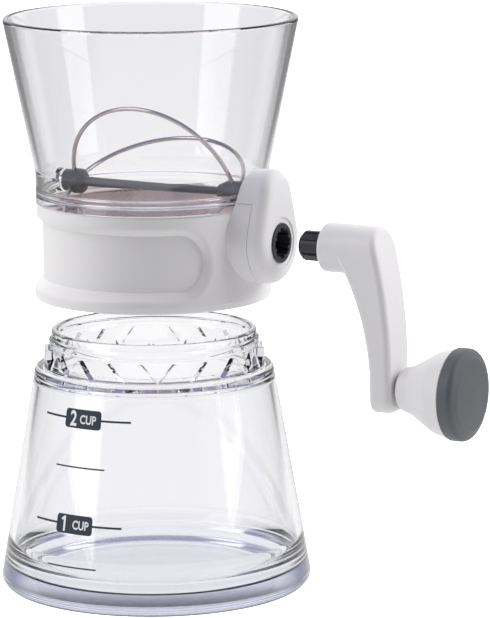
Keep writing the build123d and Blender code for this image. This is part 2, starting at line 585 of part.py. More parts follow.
WASHER_FACE_X = ARM_FACE_X + 1.1
with BuildPart() as knob_washer:
    revolve(shaft_outline(KNOB_Z, [
        (ARM_FACE_X, 2.5, 0), (WASHER_FACE_X, 2.5, 0), (WASHER_FACE_X, 5.0, 0.3), (ARM_FACE_X, 5.0, 0.3)]),
        axis=KNOB_AXIS)
finish_piece(knob_washer.part, "knob_washer")

# Knob: hollow white cone, closed by a grey cap
GRIP_END_X = 124.4
with BuildPart() as knob_grip:
    revolve(shaft_outline(KNOB_Z, [
        (103.2, 2.5 + RUNNING_FIT, 0.3), (103.2, 7.6, 2.4), (108.6, 9.2, 10.0), (118.0, 14.9, 12.0), (GRIP_END_X, 16.4, 0.3),
        (GRIP_END_X, 14.0, 0), (114.6, 9.4, 2.0), (POST_HEAD_X - 0.4, 6.4, 0.8),
        (POST_HEAD_X - 0.4, 2.5 + RUNNING_FIT, 0.3)]), axis=KNOB_AXIS)
finish_piece(knob_grip.part, "knob_grip")

CAP_FACE_X = 131.0
with BuildPart() as knob_cap:
    revolve(shaft_outline(KNOB_Z, [
        (121.8, 11.0, 0.3), (121.8, 12.1, 0.3), (GRIP_END_X, 13.9, 0), (GRIP_END_X, 16.8, 0.5),
        (CAP_FACE_X - 1.4, 16.8, 2.4), (CAP_FACE_X, 13.0, 3.0), (CAP_FACE_X + 0.5, 0, 0), (CAP_FACE_X - 2.2, 0, 0),
        (CAP_FACE_X - 2.8, 11.0, 1.0)]), axis=KNOB_AXIS)
finish_piece(knob_cap.part, "knob_cap")
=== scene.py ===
import bmesh
import bpy
from math import acos, cos, pi, radians, sin, sqrt, tan
from mathutils import Matrix, Vector


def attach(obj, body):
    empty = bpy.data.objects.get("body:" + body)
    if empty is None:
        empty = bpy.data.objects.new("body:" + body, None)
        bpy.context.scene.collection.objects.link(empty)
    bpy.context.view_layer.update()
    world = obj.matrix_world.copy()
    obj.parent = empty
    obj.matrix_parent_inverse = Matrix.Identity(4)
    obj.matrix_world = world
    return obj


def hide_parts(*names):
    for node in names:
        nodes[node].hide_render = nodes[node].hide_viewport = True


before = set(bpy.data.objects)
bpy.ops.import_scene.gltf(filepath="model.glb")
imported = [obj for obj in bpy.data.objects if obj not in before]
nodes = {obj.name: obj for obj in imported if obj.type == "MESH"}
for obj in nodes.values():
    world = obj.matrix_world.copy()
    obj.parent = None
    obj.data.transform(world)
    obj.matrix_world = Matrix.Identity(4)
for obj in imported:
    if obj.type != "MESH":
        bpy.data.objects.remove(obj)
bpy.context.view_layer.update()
MM = 0.001

# Camera: a long lens a metre and a half away, 15 cm above the hopper's rim and looking down at
# the mill, turned 30 degrees from square to the crank's axis so that the socket shows its mouth.
CAMERA_TURN = radians(30.0)
CAMERA_DISTANCE = 1.4667
CAMERA_HEIGHT = 0.3690
CAMERA_PITCH = 0.1791
CAMERA_YAW = 0.0231
CAMERA_ROLL = -0.0071
CAMERA_LENS = 233.9

camera_data = bpy.data.cameras.new("camera")
camera_data.sensor_fit = "VERTICAL"
camera_data.sensor_height = 36.0
camera_data.lens = CAMERA_LENS
camera_data.clip_end = 50.0
camera = bpy.data.objects.new("camera", camera_data)
bpy.context.scene.collection.objects.link(camera)
camera.matrix_world = (
    Matrix.Rotation(CAMERA_TURN, 4, "Z")
    @ Matrix.Translation((0.0, -CAMERA_DISTANCE, CAMERA_HEIGHT))
    @ Matrix.Rotation(-CAMERA_YAW, 4, "Z")
    @ Matrix.Rotation(pi / 2 - CAMERA_PITCH, 4, "X")
    @ Matrix.Rotation(CAMERA_ROLL, 4, "Z")
)
bpy.context.scene.camera = camera

# Studio: a white floor that glows and fades at its sides, a softbox high on either side of the
# mill, a tall strip by each that only polished and clear surfaces show, and a room that looks
# white, lights the mill mostly from behind, and has dark violet walls where plastic mirrors it.
VIEW_SIDE = Vector((cos(CAMERA_TURN), sin(CAMERA_TURN), 0.0))
VIEW_BACK = Vector((-sin(CAMERA_TURN), cos(CAMERA_TURN), 0.0))
LIGHT_BOUNCES = 64
SHADOW_BOUNCES = 24
FLOOR_SIZE = 14.0
FLOOR_GAP = 0.0002
FLOOR_TONE = 0.14
FLOOR_GLOW = 0.80
FLOOR_BOUNCE = 0.78
FLOOR_SEEN_GLOW = 1.0
SWEEP_HALF_WIDTH = 0.24
SWEEP_FALLOFF = 0.18
SWEEP_EDGE_GLOW = 0.12
scene = bpy.context.scene
scene.view_settings.view_transform = "Standard"
scene.cycles.max_bounces = LIGHT_BOUNCES
scene.cycles.transmission_bounces = LIGHT_BOUNCES
scene.cycles.transparent_max_bounces = SHADOW_BOUNCES

floor_shape = bmesh.new()
bmesh.ops.create_grid(floor_shape, x_segments=1, y_segments=1, size=FLOOR_SIZE / 2)
floor_mesh = bpy.data.meshes.new("floor")
floor_shape.to_mesh(floor_mesh)
floor_shape.free()
floor = bpy.data.objects.new("floor", floor_mesh)
floor_mesh.transform(Matrix.Translation((0.0, 0.0, -FLOOR_GAP)))
scene.collection.objects.link(floor)
floor_white = bpy.data.materials.new("floor_white")
floor_white.use_nodes = True
floor_tree = floor_white.node_tree
floor_shader = floor_tree.nodes["Principled BSDF"]
floor_shader.inputs["Base Color"].default_value = (FLOOR_TONE, FLOOR_TONE, FLOOR_TONE, 1)
floor_shader.inputs["Roughness"].default_value = 0.7
floor_shader.inputs["Specular IOR Level"].default_value = 0.0
floor_shader.inputs["Emission Color"].default_value = (1, 1, 1, 1)
floor_path = floor_tree.nodes.new("ShaderNodeLightPath")
floor_glow = floor_tree.nodes.new("ShaderNodeMapRange")
floor_glow.inputs["To Max"].default_value = FLOOR_BOUNCE
floor_tree.links.new(floor_path.outputs["Is Diffuse Ray"], floor_glow.inputs["Value"])
floor_where = floor_tree.nodes.new("ShaderNodeTexCoord")
floor_across = floor_tree.nodes.new("ShaderNodeVectorMath")
floor_across.operation = "DOT_PRODUCT"
floor_across.inputs[1].default_value = VIEW_SIDE
floor_aside = floor_tree.nodes.new("ShaderNodeMath")
floor_aside.operation = "ABSOLUTE"
floor_sweep = floor_tree.nodes.new("ShaderNodeMapRange")
floor_sweep.interpolation_type = "SMOOTHSTEP"
floor_sweep.inputs["From Min"].default_value = SWEEP_HALF_WIDTH
floor_sweep.inputs["From Max"].default_value = SWEEP_HALF_WIDTH + SWEEP_FALLOFF
floor_sweep.inputs["To Min"].default_value = FLOOR_GLOW
floor_sweep.inputs["To Max"].default_value = SWEEP_EDGE_GLOW
floor_tree.links.new(floor_where.outputs["Object"], floor_across.inputs[0])
floor_tree.links.new(floor_across.outputs["Value"], floor_aside.inputs[0])
floor_tree.links.new(floor_aside.outputs["Value"], floor_sweep.inputs["Value"])
floor_tree.links.new(floor_sweep.outputs["Result"], floor_glow.inputs["To Min"])
floor_seen = floor_tree.nodes.new("ShaderNodeMath")
floor_seen.operation = "MULTIPLY_ADD"
floor_seen.inputs[1].default_value = FLOOR_SEEN_GLOW
floor_tree.links.new(floor_path.outputs["Is Camera Ray"], floor_seen.inputs[0])
floor_tree.links.new(floor_glow.outputs["Result"], floor_seen.inputs[2])
floor_tree.links.new(floor_seen.outputs["Value"], floor_shader.inputs["Emission Strength"])
floor_mesh.materials.append(floor_white)

world = bpy.data.worlds.new("studio")
world.use_nodes = True
room = world.node_tree
room_where = room.nodes.new("ShaderNodeTexCoord")
room_depth = room.nodes.new("ShaderNodeVectorMath")
room_depth.operation = "DOT_PRODUCT"
room_depth.inputs[1].default_value = VIEW_BACK
# Each stop is a place from 0, before the mill, to 1, behind it, and the room's colour there.
ROOM_LIT = (
    (0.22, (0.07, 0.068, 0.08, 1)),
    (0.48, (0.58, 0.58, 0.60, 1)),
    (0.95, (0.95, 0.95, 0.95, 1)),
)
ROOM_MIRRORED = (
    (0.20, (0.21, 0.20, 0.40, 1)),
    (0.70, (0.25, 0.25, 0.41, 1)),
    (0.86, (0.98, 0.98, 0.98, 1)),
    (0.98, (1.0, 1.0, 1.0, 1)),
)
room_ramps = []
for ramp_stops in (ROOM_LIT, ROOM_MIRRORED):
    ramp = room.nodes.new("ShaderNodeValToRGB")
    ramp.color_ramp.interpolation = "EASE"
    stops = ramp.color_ramp.elements
    while len(stops) < len(ramp_stops):
        stops.new(0.5)
    for stop, (place, tone) in zip(stops, ramp_stops):
        stop.position = place
        stop.color = tone
    room_ramps.append(ramp)
room_span = room.nodes.new("ShaderNodeMapRange")
room_span.inputs["From Min"].default_value = -1.0
room_path = room.nodes.new("ShaderNodeLightPath")
room_seen = room.nodes.new("ShaderNodeMix")
room_seen.data_type = "RGBA"
room_seen.inputs["B"].default_value = (1, 1, 1, 1)
room.links.new(room_where.outputs["Generated"], room_depth.inputs[0])
room.links.new(room_depth.outputs["Value"], room_span.inputs["Value"])
room_use = room.nodes.new("ShaderNodeMix")
room_use.data_type = "RGBA"
room.links.new(room_path.outputs["Is Diffuse Ray"], room_use.inputs["Factor"])
for ramp, side in zip(room_ramps, ("B", "A")):
    room.links.new(room_span.outputs["Result"], ramp.inputs["Fac"])
    room.links.new(ramp.outputs["Color"], room_use.inputs[side])
room.links.new(room_path.outputs["Is Camera Ray"], room_seen.inputs["Factor"])
room.links.new(room_use.outputs["Result"], room_seen.inputs["A"])
room.links.new(room_seen.outputs["Result"], room.nodes["Background"].inputs["Color"])
scene.world = world


LAMP_TARGET = Vector((0.0, 0.0, 0.12))


def softbox(name, side, turn, distance, height, width, tall, watts):
    """Area light on that side, turned forward by so many degrees, that faces the mill's middle."""
    lamp = bpy.data.lights.new(name, "AREA")
    lamp.shape = "RECTANGLE"
    lamp.size = width
    lamp.size_y = tall
    lamp.energy = watts
    holder = bpy.data.objects.new(name, lamp)
    place = (VIEW_SIDE * side * cos(radians(turn)) - VIEW_BACK * sin(radians(turn))) * distance
    place.z = height
    facing = (LAMP_TARGET - place).to_track_quat("-Z", "Y")
    holder.matrix_world = Matrix.Translation(place) @ facing.to_matrix().to_4x4()
    holder.visible_camera = False
    scene.collection.objects.link(holder)
    return holder


BOX_TURN = -4.0
BOX_DISTANCE = 1.15
BOX_HEIGHT = 1.0
BOX_WIDTH = 1.1
for box_name, box_side, box_watts in (("left_softbox", -1, 16.0), ("right_softbox", 1, 17.0)):
    box = softbox(box_name, box_side, BOX_TURN, BOX_DISTANCE, BOX_HEIGHT, BOX_WIDTH, BOX_WIDTH, box_watts)
    box.visible_glossy = False
    box.visible_transmission = False
STRIP_DISTANCE = 1.3
STRIP_HEIGHT = 0.75
STRIP_TALL = 1.4
STRIP_WATTS_PER_METRE = 7.0
STRIPS = (("left_strip", -1, 26.0, 0.85), ("right_strip", 1, 18.0, 0.65))
for strip_name, strip_side, strip_turn, strip_width in STRIPS:
    strip = softbox(strip_name, strip_side, strip_turn, STRIP_DISTANCE, STRIP_HEIGHT, strip_width, STRIP_TALL,
                    STRIP_WATTS_PER_METRE * strip_width)
    strip.visible_diffuse = False

# Clear copolyester of the jar and the hopper: polished, with a faint violet cast that only shows
# where light runs a long way through it, at the rim, the teeth and the thick floor.
def clear_plastic(name, cast, density, roughness=0.0):
    """Glassy solid that takes its tint from the depth of plastic that light crosses."""
    material = bpy.data.materials.new(name)
    material.use_nodes = True
    tree = material.node_tree
    shader = tree.nodes["Principled BSDF"]
    shader.inputs["Base Color"].default_value = (1, 1, 1, 1)
    shader.inputs["Roughness"].default_value = roughness
    shader.inputs["IOR"].default_value = 1.56
    shader.inputs["Transmission Weight"].default_value = 1.0
    through = tree.nodes.new("ShaderNodeBsdfTransparent")
    through.inputs["Color"].default_value = (0.94, 0.94, 0.955, 1)
    path = tree.nodes.new("ShaderNodeLightPath")
    choose = tree.nodes.new("ShaderNodeMixShader")
    tree.links.new(path.outputs["Is Shadow Ray"], choose.inputs["Fac"])
    tree.links.new(shader.outputs["BSDF"], choose.inputs[1])
    tree.links.new(through.outputs["BSDF"], choose.inputs[2])
    depth = tree.nodes.new("ShaderNodeVolumeAbsorption")
    depth.inputs["Color"].default_value = cast
    depth.inputs["Density"].default_value = density
    output = tree.nodes["Material Output"]
    tree.links.new(choose.outputs["Shader"], output.inputs["Surface"])
    tree.links.new(depth.outputs["Volume"], output.inputs["Volume"])
    return material


CLEAR_CAST = (0.20, 0.24, 0.80, 1)
JAR_DENSITY = 3.0
HOPPER_DENSITY = 5.0
jar_clear = clear_plastic("jar_clear", CLEAR_CAST, JAR_DENSITY)
hopper_clear = clear_plastic("hopper_clear", CLEAR_CAST, HOPPER_DENSITY)

# Jar: one clear moulding with a thick floor, a neck with a sealing bead, a crown of twenty teeth
# round the shoulder that lock the head against turning, and a frosted recess under the floor.
JAR_FOOT_R = 57.87
JAR_RECESS_Z = 0.8
JAR_FLOOR_Z = 5.6
SHOULDER_R = 44.2
SHOULDER_Z = 83.5
NECK_R = 38.5
NECK_BORE_R = 36.0
NECK_TOP_Z = 97.2
BEAD_R = 39.0
TOOTH_COUNT = 20
TOOTH_TURN = radians(4.7)
TOOTH_INNER_R = 37.9
TOOTH_OUTER_R = 41.0
TOOTH_HALF_WIDTH = 5.8
TOOTH_SUNK_Z = 82.9
TOOTH_TIP_Z = 90.9
TOOTH_TIP_ROUNDING = 1.6
TOOTH_CUT_PITCH = 1.95
UNDERSIDE_TOP_Z = 1.2
FACING_DOWN = -0.9
FROSTING = 0.14
SPIN_STEPS = 288
FINE_ROUNDING = 1.2
BROAD_ROUNDING = 4.0
LONG_EDGE = 2.4
EDGE_SUPPORT = 0.25
WELD = 0.002
SPECK = 0.001
CREASE = radians(32)


def rounded_outline(shape, corners):
    """Face in XZ from (radius, z, rounding) triples in millimetres, with each corner rounded.

    A point near each end of a long edge keeps the roundings from bending the light in flat walls.
    """
    spots = [shape.verts.new((x * MM, 0, z * MM)) for x, z, _ in corners]
    shape.faces.new(spots)
    turns = []
    for index, (x, z, rounding) in enumerate(corners):
        here = Vector((x, z))
        back = (Vector(corners[index - 1][:2]) - here).normalized()
        ahead = (Vector(corners[(index + 1) % len(corners)][:2]) - here).normalized()
        turns.append(rounding / tan(back.angle(ahead) / 2))
    for spot, (x, z, rounding), trim in zip(spots, corners, turns):
        if rounding:
            steps = 3 if rounding < FINE_ROUNDING else 6 if rounding < BROAD_ROUNDING else 12
            bmesh.ops.bevel(shape, geom=[spot], offset=trim * MM, segments=steps, profile=0.5,
                            affect="VERTICES", material=-1)
    for edge in shape.edges[:]:
        for end in edge.verts[:]:
            if edge.calc_length() > LONG_EDGE * MM:
                bmesh.utils.edge_split(edge, end, EDGE_SUPPORT * MM / edge.calc_length())
    return shape.faces[:]


def spun(corners, centre=(0, 0, 0), axis=(0, 0, 1), steps=SPIN_STEPS):
    """Closed solid turned about an axis from an outline of (radius, z, rounding) triples."""
    shape = bmesh.new()
    outline = rounded_outline(shape, corners)
    bmesh.ops.spin(shape, geom=shape.edges[:] + shape.verts[:], cent=centre, axis=axis, steps=steps,
                   angle=2 * pi, use_merge=True)
    bmesh.ops.delete(shape, geom=outline, context="FACES_ONLY")
    bmesh.ops.remove_doubles(shape, verts=shape.verts[:], dist=WELD * MM)
    bmesh.ops.dissolve_degenerate(shape, edges=shape.edges[:], dist=SPECK * MM)
    bmesh.ops.recalc_face_normals(shape, faces=shape.faces[:])
    return shape


def as_piece(shape, name, material, body, slot, *stands_for):
    """Turn a finished bmesh into a smooth piece with crisp corners that rides on a body."""
    for face in shape.faces:
        face.smooth = True
    for edge in shape.edges:
        edge.smooth = len(edge.link_faces) == 2 and edge.calc_face_angle() < CREASE
    mesh = bpy.data.meshes.new(name)
    shape.to_mesh(mesh)
    shape.free()
    mesh.materials.append(material)
    piece = bpy.data.objects.new(name, mesh)
    scene.collection.objects.link(piece)
    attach(piece, body)
    if stands_for:
        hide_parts(*stands_for)
    return piece


def joined(base, tool, operation):
    """Bmesh of two bmesh solids put together or cut, by an exact boolean."""
    meshes = []
    holders = []
    for solid in (base, tool):
        mesh = bpy.data.meshes.new("solid")
        solid.to_mesh(mesh)
        solid.free()
        meshes.append(mesh)
        holder = bpy.data.objects.new("solid", mesh)
        scene.collection.objects.link(holder)
        holders.append(holder)
    cut = holders[0].modifiers.new("cut", "BOOLEAN")
    cut.operation = operation
    cut.solver = "EXACT"
    cut.object = holders[1]
    evaluated = holders[0].evaluated_get(bpy.context.evaluated_depsgraph_get())
    result = bmesh.new()
    result.from_mesh(evaluated.to_mesh())
    evaluated.to_mesh_clear()
    for holder in holders:
        bpy.data.objects.remove(holder)
    for mesh in meshes:
        bpy.data.meshes.remove(mesh)
    return result


jar_body = spun([
    (0, JAR_RECESS_Z, 0), (46.0, JAR_RECESS_Z, 0), (47.0, 0, 0.4), (57.5, 0, 4.6),
    (JAR_FOOT_R, 4.6, 2.0), (SHOULDER_R, SHOULDER_Z, 1.8), (NECK_R, SHOULDER_Z, 0.5),
    (NECK_R, 91.0, 0.4), (BEAD_R, 91.8, 0.4), (BEAD_R, 93.4, 0.4), (38.2, 94.4, 0.4),
    (38.0, NECK_TOP_Z, 1.0), (NECK_BORE_R, NECK_TOP_Z, 0.8), (NECK_BORE_R, 84.1, 2.5),
    (42.3, 78.9, 5.0), (54.9, JAR_FLOOR_Z, 11.7), (0, JAR_FLOOR_Z, 0)])
crown = bmesh.new()
for tooth in range(TOOTH_COUNT):
    blade = bmesh.new()
    outline = [blade.verts.new((0, y * MM, z * MM)) for y, z in (
        (-TOOTH_HALF_WIDTH, TOOTH_SUNK_Z), (-TOOTH_HALF_WIDTH, SHOULDER_Z), (0, TOOTH_TIP_Z),
        (TOOTH_HALF_WIDTH, SHOULDER_Z), (TOOTH_HALF_WIDTH, TOOTH_SUNK_Z))]
    blade.faces.new(outline)
    bmesh.ops.bevel(blade, geom=[outline[2]], offset=TOOTH_TIP_ROUNDING * MM, segments=8, profile=0.5,
                    affect="VERTICES", material=-1)
    for cut in range(-2, 3):
        bmesh.ops.bisect_plane(blade, geom=blade.verts[:] + blade.edges[:] + blade.faces[:],
                               plane_co=(0, cut * TOOTH_CUT_PITCH * MM, 0), plane_no=(0, 1, 0))
    inner_spots = blade.verts[:]
    flat_blade = blade.faces[:] + blade.edges[:] + blade.verts[:]
    grown = bmesh.ops.extrude_face_region(blade, geom=flat_blade)["geom"]
    outer_spots = [item for item in grown if isinstance(item, bmesh.types.BMVert)]
    for spots, radius in ((inner_spots, TOOTH_INNER_R), (outer_spots, TOOTH_OUTER_R)):
        for spot in spots:
            spot.co.x = sqrt((radius * MM) ** 2 - spot.co.y ** 2)
    bmesh.ops.recalc_face_normals(blade, faces=blade.faces[:])
    round_the_neck = Matrix.Rotation(TOOTH_TURN + tooth * 2 * pi / TOOTH_COUNT, 3, "Z")
    bmesh.ops.rotate(blade, cent=(0, 0, 0), matrix=round_the_neck, verts=blade.verts)
    part = bpy.data.meshes.new("blade")
    blade.to_mesh(part)
    blade.free()
    crown.from_mesh(part)
    bpy.data.meshes.remove(part)
jar_body = joined(jar_body, crown, "UNION")
clear_jar = as_piece(jar_body, "clear_jar", jar_clear, "jar_body", "clear_plastic", "jar")
clear_jar.data.materials.append(clear_plastic("jar_underside", CLEAR_CAST, JAR_DENSITY, FROSTING))
for face in clear_jar.data.polygons:
    if face.normal.z < FACING_DOWN and face.center.z < UNDERSIDE_TOP_Z * MM:
        face.material_index = 1

# Hopper: one clear moulding with an inner flange over the screen, a boss with a blind bore for the
# far end of the agitator, and a bored boss for its bush on the side of the gears.
AGITATOR_Z = 150.0
COLLAR_R = 43.2
COLLAR_BORE_R = 41.0
COLLAR_FOOT_Z = 144.8
RIM_R = 54.5
RIM_BORE_R = 52.3
RIM_Z = 212.9
FLANGE_BORE_R = 38.8
FLANGE_TOP_Z = 149.8
FLANGE_UNDER_Z = 147.8
# Ends along X and radius of the bars that each boss and bore is made with.
IDLE_BOSS = (-42.0, -38.4, 4.4)
IDLE_BORE = (-41.8, -37.0, 2.06)
DRIVE_BOSS = (39.4, 42.4, 4.7)
DRIVE_BORE = (36.0, 46.0, 3.6)
DRIVE_HUB_ROOM = (37.4, 39.4, 4.5)
hopper_body = spun([
    (COLLAR_BORE_R, COLLAR_FOOT_Z, 0.2), (COLLAR_R, COLLAR_FOOT_Z, 0.3), (COLLAR_R, 156.3, 6.0),
    (RIM_R, RIM_Z, 1.1), (RIM_BORE_R, RIM_Z, 1.0), (COLLAR_BORE_R, 156.1, 6.0),
    (COLLAR_BORE_R, FLANGE_TOP_Z, 1.0), (FLANGE_BORE_R, FLANGE_TOP_Z, 0.6),
    (FLANGE_BORE_R, FLANGE_UNDER_Z, 0.6), (COLLAR_BORE_R, FLANGE_UNDER_Z, 0.8)])


def plug(first_x, last_x, radius):
    """Round bar along X on the agitator's axis, in millimetres."""
    shape = bmesh.new()
    bmesh.ops.create_cone(shape, cap_ends=True, segments=64, radius1=radius * MM, radius2=radius * MM,
                          depth=(last_x - first_x) * MM, matrix=Matrix.Rotation(pi / 2, 4, "Y"))
    bmesh.ops.translate(shape, vec=((first_x + last_x) / 2 * MM, 0, AGITATOR_Z * MM), verts=shape.verts)
    return shape


for plug_size, operation in ((IDLE_BOSS, "UNION"), (IDLE_BORE, "DIFFERENCE"), (DRIVE_BOSS, "UNION"),
                             (DRIVE_BORE, "DIFFERENCE"), (DRIVE_HUB_ROOM, "DIFFERENCE")):
    hopper_body = joined(hopper_body, plug(*plug_size), operation)
as_piece(hopper_body, "clear_hopper", hopper_clear, "mill_head", "clear_plastic", "hopper")

# Scale marks: two dark rounded labels with a line on either side, and two plain lines, screen-printed
# on the outside of the jar a few hundredths of a millimetre thick, with white lettering over them.
MARK_AZIMUTH = radians(-94.4)
JAR_SLOPE = 0.17364
JAR_CONE_R = 58.70
INK_THICKNESS = 0.03
INK_LIFT = 0.02
WHITE_LIFT = 0.055
TWO_CUPS_Z = 70.3
ONE_CUP_Z = 32.4
PLAIN_LINES_Z = (52.9, 17.05)
PLAIN_LINE_SIZE = (21.5, 0.55)
LABEL_SIZE = (15.7, 7.0)
LABEL_ROUNDING = 1.3
SIDE_LINE_SIZE = (11.4, 0.75)
SIDE_LINE_MIDDLE = 13.5
NUMBER_SIZE = 7.7
NUMBER_FOOT = -2.75
WORD_SIZE = 4.5
WORD_FOOT = -1.75
LETTER_WIDTH = 0.80
LETTER_BOLDNESS = 0.022
FLAG_SIZE = (1.7, 0.85)
FLAG_TILT = radians(38.0)
FLAG_PLACE = (-4.75, 2.0, 0)
CUT_REACH = 20
scale_ink = bmesh.new()
scale_white = bmesh.new()


def wrap_on_jar(printed, height, lift):
    """Bend a flat print that lies in XY onto the jar's cone, at that height above the base."""
    slant = sqrt(1 + JAR_SLOPE ** 2)
    for spot in printed.verts:
        z = height + spot.co.y / slant
        radius = JAR_CONE_R - JAR_SLOPE * z + (lift + spot.co.z) * slant
        azimuth = MARK_AZIMUTH + spot.co.x / (JAR_CONE_R - JAR_SLOPE * height)
        spot.co = Vector((radius * cos(azimuth), radius * sin(azimuth), z)) * MM


def print_on_jar(sheet, target, height, lift):
    """Cut a flat shape into strips 1 mm wide so that it can curve, wrap it and add it to the ink."""
    for cut in range(-CUT_REACH, CUT_REACH + 1):
        bmesh.ops.bisect_plane(sheet, geom=sheet.verts[:] + sheet.edges[:] + sheet.faces[:],
                               plane_co=(cut, 0, 0), plane_no=(1, 0, 0))
    bmesh.ops.solidify(sheet, geom=sheet.faces[:], thickness=INK_THICKNESS)
    wrap_on_jar(sheet, height, lift)
    bmesh.ops.recalc_face_normals(sheet, faces=sheet.faces[:])
    part = bpy.data.meshes.new("part")
    sheet.to_mesh(part)
    sheet.free()
    target.from_mesh(part)
    bpy.data.meshes.remove(part)


def bar(width, height, middle, rounding):
    """Flat bar centred at middle, with rounded corners."""
    shape = bmesh.new()
    bmesh.ops.create_grid(shape, x_segments=1, y_segments=1, size=0.5)
    bmesh.ops.scale(shape, vec=(width, height, 1), verts=shape.verts)
    bmesh.ops.translate(shape, vec=(middle, 0, 0), verts=shape.verts)
    if rounding:
        bmesh.ops.bevel(shape, geom=shape.verts[:], offset=rounding, segments=6, profile=0.5,
                        affect="VERTICES", material=-1)
    return shape


def lettering(words, size, left, foot):
    """Flat narrow lettering with its left edge and its foot at that place."""
    curve = bpy.data.curves.new(words, "FONT")
    curve.body = words
    curve.size = size
    curve.offset = LETTER_BOLDNESS * size
    curve.resolution_u = 3
    holder = bpy.data.objects.new(words, curve)
    letters = bpy.data.meshes.new_from_object(holder)
    shape = bmesh.new()
    shape.from_mesh(letters)
    bpy.data.objects.remove(holder)
    bpy.data.curves.remove(curve)
    bpy.data.meshes.remove(letters)
    bmesh.ops.scale(shape, vec=(LETTER_WIDTH, 1, 1), verts=shape.verts)
    corner = Vector((min(spot.co.x for spot in shape.verts), min(spot.co.y for spot in shape.verts), 0))
    bmesh.ops.translate(shape, vec=Vector((left, foot, 0)) - corner, verts=shape.verts)
    return shape


for number, height, number_left, word_left in (("2", TWO_CUPS_Z, -5.5, -1.1), ("1", ONE_CUP_Z, -4.6, -0.5)):
    print_on_jar(bar(LABEL_SIZE[0], LABEL_SIZE[1], 0, LABEL_ROUNDING), scale_ink, height, INK_LIFT)
    for side in (-1, 1):
        side_line = bar(SIDE_LINE_SIZE[0], SIDE_LINE_SIZE[1], side * SIDE_LINE_MIDDLE, 0)
        print_on_jar(side_line, scale_ink, height, INK_LIFT)
    print_on_jar(lettering(number, NUMBER_SIZE, number_left, NUMBER_FOOT), scale_white, height, WHITE_LIFT)
    print_on_jar(lettering("CUP", WORD_SIZE, word_left, WORD_FOOT), scale_white, height, WHITE_LIFT)
flag = bar(FLAG_SIZE[0], FLAG_SIZE[1], 0, 0)
bmesh.ops.rotate(flag, cent=(0, 0, 0), matrix=Matrix.Rotation(FLAG_TILT, 3, "Z"), verts=flag.verts)
bmesh.ops.translate(flag, vec=FLAG_PLACE, verts=flag.verts)
print_on_jar(flag, scale_white, ONE_CUP_Z, WHITE_LIFT)
for height in PLAIN_LINES_Z:
    print_on_jar(bar(PLAIN_LINE_SIZE[0], PLAIN_LINE_SIZE[1], 0, 0), scale_ink, height, INK_LIFT)
INK_MOTTLE = 0.88


def ink(name, colour):
    """Screen-printing ink, a little uneven in its gloss."""
    material = bpy.data.materials.new(name)
    material.use_nodes = True
    tree = material.node_tree
    shader = tree.nodes["Principled BSDF"]
    where = tree.nodes.new("ShaderNodeTexCoord")
    mottle = tree.nodes.new("ShaderNodeTexNoise")
    mottle.inputs["Scale"].default_value = 1500.0
    tint = tree.nodes.new("ShaderNodeMix")
    tint.data_type = "RGBA"
    tint.inputs["A"].default_value = [channel * INK_MOTTLE for channel in colour[:3]] + [1]
    tint.inputs["B"].default_value = colour
    gloss = tree.nodes.new("ShaderNodeMapRange")
    gloss.inputs["To Min"].default_value = 0.35
    gloss.inputs["To Max"].default_value = 0.55
    tree.links.new(where.outputs["Object"], mottle.inputs["Vector"])
    tree.links.new(mottle.outputs["Fac"], tint.inputs["Factor"])
    tree.links.new(mottle.outputs["Fac"], gloss.inputs["Value"])
    tree.links.new(tint.outputs["Result"], shader.inputs["Base Color"])
    tree.links.new(gloss.outputs["Result"], shader.inputs["Roughness"])
    return material


as_piece(scale_ink, "scale_marks", ink("slate_ink", (0.020, 0.028, 0.040, 1)), "jar_body", "dark_plastic")
as_piece(scale_white, "scale_numbers", ink("white_ink", (0.95, 0.95, 0.95, 1)), "jar_body", "white_plastic")

# White parts: the ring, the gear cover, the arm and the knob, injection moulded in ABS that comes
# out satin, with the very fine spark-eroded grain of the mould.
GLOSS_SPREAD = 0.05


def moulded(name, colour, roughness, grain_scale, grain_depth):
    """Plastic with a fine mould grain in its gloss and its surface."""
    material = bpy.data.materials.new(name)
    material.use_nodes = True
    tree = material.node_tree
    shader = tree.nodes["Principled BSDF"]
    where = tree.nodes.new("ShaderNodeTexCoord")
    grain = tree.nodes.new("ShaderNodeTexNoise")
    grain.inputs["Scale"].default_value = grain_scale
    grain.inputs["Detail"].default_value = 3.0
    tree.links.new(where.outputs["Object"], grain.inputs["Vector"])
    gloss = tree.nodes.new("ShaderNodeMapRange")
    gloss.inputs["To Min"].default_value = roughness - GLOSS_SPREAD
    gloss.inputs["To Max"].default_value = roughness + GLOSS_SPREAD
    tree.links.new(grain.outputs["Fac"], gloss.inputs["Value"])
    tree.links.new(gloss.outputs["Result"], shader.inputs["Roughness"])
    bump = tree.nodes.new("ShaderNodeBump")
    bump.inputs["Strength"].default_value = grain_depth
    bump.inputs["Distance"].default_value = 0.0001
    tree.links.new(grain.outputs["Fac"], bump.inputs["Height"])
    tree.links.new(bump.outputs["Normal"], shader.inputs["Normal"])
    shader.inputs["Base Color"].default_value = colour
    return material


def dress(node, material):
    """Give a CAD node one material."""
    slots = nodes[node].data.materials
    slots.clear()
    slots.append(material)


white_abs = moulded("white_abs", (0.785, 0.772, 0.775, 1), 0.38, 2600.0, 0.15)
for node in ("base_ring", "gear_cover", "crank_arm", "knob_grip"):
    dress(node, white_abs)

# Grey parts: the agitator's rod, the hub at each of its ends and the ring that carries the
# screen, injection moulded in glass-filled nylon, whose fibres leave it a little rough.
grey_nylon = moulded("grey_nylon", (0.058, 0.062, 0.069, 1), 0.42, 1800.0, 0.3)
for node in ("agitator_shaft", "idle_hub", "drive_hub", "screen_rim"):
    dress(node, grey_nylon)

